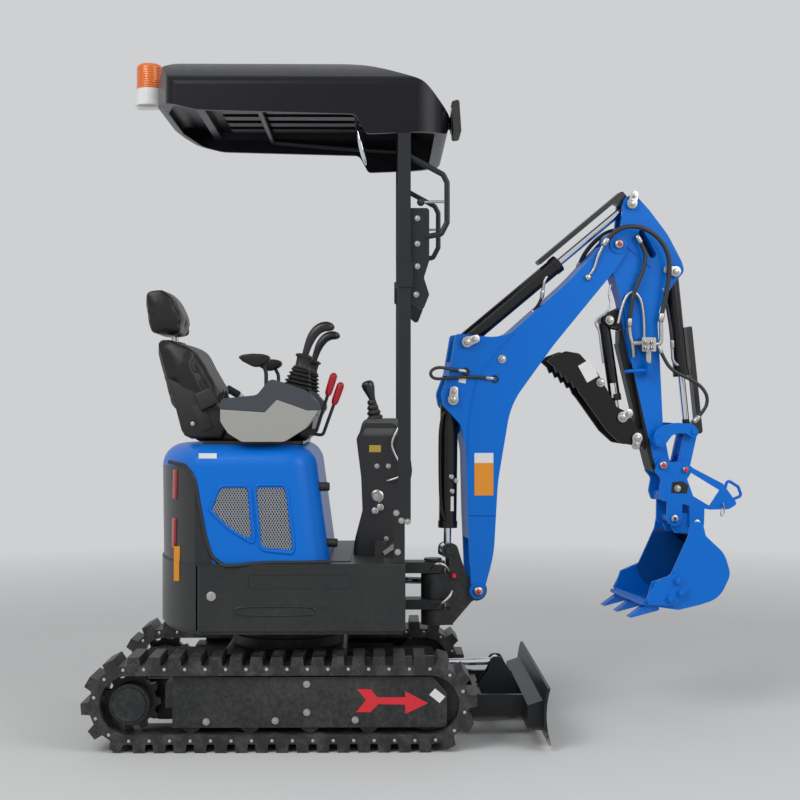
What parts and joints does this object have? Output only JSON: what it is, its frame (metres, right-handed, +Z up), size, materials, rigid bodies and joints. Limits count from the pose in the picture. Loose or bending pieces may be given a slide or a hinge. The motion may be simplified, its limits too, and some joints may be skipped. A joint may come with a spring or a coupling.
{
  "type": "mini excavator",
  "caption": "Compact tracked excavator with a slewing house, twin-post canopy, open operator seat, swinging boom, arm, thumb, hitched bucket and dozer blade.",
  "frame": {"origin": "middle of the machine's rectangle on the floor, tracks standing on z = 0", "axes": "+X forward along the tracks towards the blade and bucket, +Y to the machine's left, +Z up"},
  "size_m": [2.4781, 0.98, 2.5093],
  "materials": {
    "rubber_track": "matt",
    "dark_frame": "satin",
    "dark_panel": "satin",
    "cast_weight": "satin",
    "blue_paint": "gloss",
    "engine": "rough",
    "screen": "matt",
    "seat_leather": "soft sheen",
    "console_plastic": "matt",
    "black_plastic": "matt",
    "red_grip": "gloss",
    "roof_plastic": "gloss",
    "lamp_white": "gloss",
    "lamp_orange": "clear gloss",
    "thumb_steel": "satin",
    "barrel_paint": "gloss",
    "rod_chrome": "polished"
  },
  "bodies": {
    "undercarriage": {"track_right": "rubber_track", "sprocket_right": "dark_frame", "idler_right": "dark_frame", "track_frame_right": "dark_frame", "track_left": "rubber_track", "sprocket_left": "dark_frame", "idler_left": "dark_frame", "track_frame_left": "dark_frame", "car_body": "dark_frame"},
    "blade": {"blade": "dark_frame"},
    "blade_barrel": {"blade_cylinder_barrel": "barrel_paint"},
    "blade_rod": {"blade_cylinder_rod": "rod_chrome"},
    "swing_bracket": {"swing_bracket": "dark_frame"},
    "swing_barrel": {"swing_cylinder_barrel": "barrel_paint"},
    "swing_rod": {"swing_cylinder_rod": "rod_chrome"},
    "boom": {"boom": "blue_paint"},
    "lift_barrel": {"lift_cylinder_barrel": "barrel_paint"},
    "lift_rod": {"lift_cylinder_rod": "rod_chrome"},
    "crowd_barrel": {"crowd_cylinder_barrel": "barrel_paint"},
    "crowd_rod": {"crowd_cylinder_rod": "rod_chrome"},
    "arm": {"arm": "blue_paint", "valve_block": "dark_panel"},
    "curl_barrel": {"curl_cylinder_barrel": "barrel_paint"},
    "curl_rod": {"curl_cylinder_rod": "rod_chrome"},
    "rocker": {"rocker": "blue_paint"},
    "h_link": {"h_link": "blue_paint"},
    "thumb": {"thumb": "thumb_steel"},
    "thumb_barrel": {"thumb_cylinder_barrel": "barrel_paint"},
    "thumb_rod": {"thumb_cylinder_rod": "rod_chrome"},
    "bucket": {"hitch": "blue_paint", "bucket": "blue_paint"},
    "house": {"house_frame": "dark_frame", "skirts": "dark_panel", "tail_weight": "cast_weight", "deck_floor": "dark_frame", "engine_hood": "blue_paint", "rear_cover": "dark_panel", "grilles": "screen", "engine_block": "engine", "seat_base": "dark_panel", "seat_cushion": "seat_leather", "seat_back": "seat_leather", "console_right": "console_plastic", "joystick_right": "black_plastic", "armrest_right": "black_plastic", "console_left": "console_plastic", "joystick_left": "black_plastic", "armrest_left": "black_plastic", "side_levers": "red_grip", "control_tower": "black_plastic", "travel_levers": "black_plastic", "pedals": "dark_panel", "canopy_frame": "dark_panel", "canopy_roof": "roof_plastic", "beacon_base": "lamp_white", "beacon_lens": "lamp_orange", "mirror": "black_plastic"}
  },
  "joints": [
    {"name": "house_slew", "type": "hinge", "parent": "undercarriage", "child": "house", "pos_m": [-0.54909, 0, 0.4], "axis": [0, 0, 1], "continuous": true},
    {"name": "blade_lift", "type": "hinge", "parent": "undercarriage", "child": "blade", "pos_m": [-0.24909, 0, 0.185], "axis": [0, 1, 0], "range_deg": [-17.5, 13.3]},
    {"name": "blade_barrel_tilt", "type": "hinge", "parent": "undercarriage", "child": "blade_barrel", "pos_m": [-0.29909, 0, 0.215], "axis": [0, 1, 0], "range_deg": [-16.44, 12.61]},
    {"name": "blade_rod_slide", "type": "slide", "parent": "blade_barrel", "child": "blade_rod", "axis": [0.9997, 0, 0.0259], "range_m": [-0.0117, 0.0094]},
    {"name": "boom_swing", "type": "hinge", "parent": "house", "child": "swing_bracket", "pos_m": [0.00191, 0, 0.5], "axis": [0, 0, 1], "range_deg": [-59, 41]},
    {"name": "swing_barrel_tilt", "type": "hinge", "parent": "house", "child": "swing_barrel", "pos_m": [-0.39909, 0.15, 0.525], "axis": [0, 0, 1], "range_deg": [-1.48, 1.92]},
    {"name": "swing_rod_slide", "type": "slide", "parent": "swing_barrel", "child": "swing_rod", "axis": [0.9928, -0.1195, 0], "range_m": [-0.0635, 0.0906]},
    {"name": "boom_lift", "type": "hinge", "parent": "swing_bracket", "child": "boom", "pos_m": [0.16093, 0.02519, 0.502], "axis": [-0.1564, 0.9877, 0], "range_deg": [-5, 95]},
    {"name": "lift_barrel_tilt", "type": "hinge", "parent": "boom", "child": "lift_barrel", "pos_m": [0.06513, 0.01001, 1.229], "axis": [-0.1564, 0.9877, 0], "range_deg": [-0.79, 6.01]},
    {"name": "lift_rod_slide", "type": "slide", "parent": "lift_barrel", "child": "lift_rod", "axis": [-0.0138, -0.0022, -0.9999], "range_m": [-0.0164, 0.2756]},
    {"name": "arm_swing", "type": "hinge", "parent": "boom", "child": "arm", "pos_m": [0.71206, 0.11248, 1.831], "axis": [0.1564, -0.9877, 0], "range_deg": [0, 105]},
    {"name": "crowd_barrel_tilt", "type": "hinge", "parent": "boom", "child": "crowd_barrel", "pos_m": [0.11846, 0.01846, 1.448], "axis": [0.1564, -0.9877, 0], "range_deg": [-0.5, 3.67]},
    {"name": "crowd_rod_slide", "type": "slide", "parent": "crowd_barrel", "child": "crowd_rod", "axis": [0.7617, 0.1206, 0.6366], "range_m": [-0.2707, 0.002]},
    {"name": "bucket_tilt", "type": "hinge", "parent": "arm", "child": "bucket", "pos_m": [0.88984, 0.14064, 0.975], "axis": [0.1564, -0.9877, 0], "range_deg": [-90, 50]},
    {"name": "rocker_tilt", "type": "hinge", "parent": "arm", "child": "rocker", "pos_m": [0.86713, 0.13704, 1.07], "axis": [0.1564, -0.9877, 0], "range_deg": [-55.31, 30.95]},
    {"name": "link_tilt", "type": "hinge", "parent": "rocker", "child": "h_link", "pos_m": [1.01133, 0.15988, 1.105], "axis": [0.1564, -0.9877, 0], "range_deg": [-14.25, 25.25]},
    {"name": "curl_barrel_tilt", "type": "hinge", "parent": "arm", "child": "curl_barrel", "pos_m": [0.94516, 0.1494, 1.73], "axis": [0.1564, -0.9877, 0], "range_deg": [-1.4, 1]},
    {"name": "curl_rod_slide", "type": "slide", "parent": "curl_barrel", "child": "curl_rod", "axis": [0.1053, 0.0167, -0.9943], "range_m": [-0.0753, 0.1339]},
    {"name": "thumb_tilt", "type": "hinge", "parent": "arm", "child": "thumb", "pos_m": [0.78713, 0.12437, 1.08], "axis": [0.1564, -0.9877, 0], "range_deg": [0, 105]},
    {"name": "thumb_barrel_tilt", "type": "hinge", "parent": "arm", "child": "thumb_barrel", "pos_m": [0.67354, 0.10637, 1.538], "axis": [0.1564, -0.9877, 0], "range_deg": [-3.7, 0.5]},
    {"name": "thumb_rod_slide", "type": "slide", "parent": "thumb_barrel", "child": "thumb_rod", "axis": [0.148, 0.0234, -0.9887], "range_m": [-0.002, 0.1594]}
  ],
  "couplings": [
    {"joint": "blade_barrel_tilt", "follows": "blade_lift", "ratio": 0.91071},
    {"joint": "blade_rod_slide", "follows": "blade_lift", "m_per_rad": 0.031805},
    {"joint": "swing_barrel_tilt", "follows": "boom_swing", "ratio": -0.024},
    {"joint": "swing_rod_slide", "follows": "boom_swing", "m_per_rad": -0.086},
    {"joint": "lift_barrel_tilt", "follows": "boom_lift", "ratio": 0.058},
    {"joint": "lift_rod_slide", "follows": "boom_lift", "m_per_rad": 0.165},
    {"joint": "crowd_barrel_tilt", "follows": "arm_swing", "ratio": 0.030185},
    {"joint": "crowd_rod_slide", "follows": "arm_swing", "m_per_rad": -0.14662},
    {"joint": "rocker_tilt", "follows": "bucket_tilt", "ratio": 0.609},
    {"joint": "link_tilt", "follows": "bucket_tilt", "ratio": -0.275},
    {"joint": "curl_barrel_tilt", "follows": "bucket_tilt", "ratio": 0.01},
    {"joint": "curl_rod_slide", "follows": "bucket_tilt", "m_per_rad": -0.084},
    {"joint": "thumb_barrel_tilt", "follows": "thumb_tilt", "ratio": -0.030456},
    {"joint": "thumb_rod_slide", "follows": "thumb_tilt", "m_per_rad": 0.085865}
  ]
}
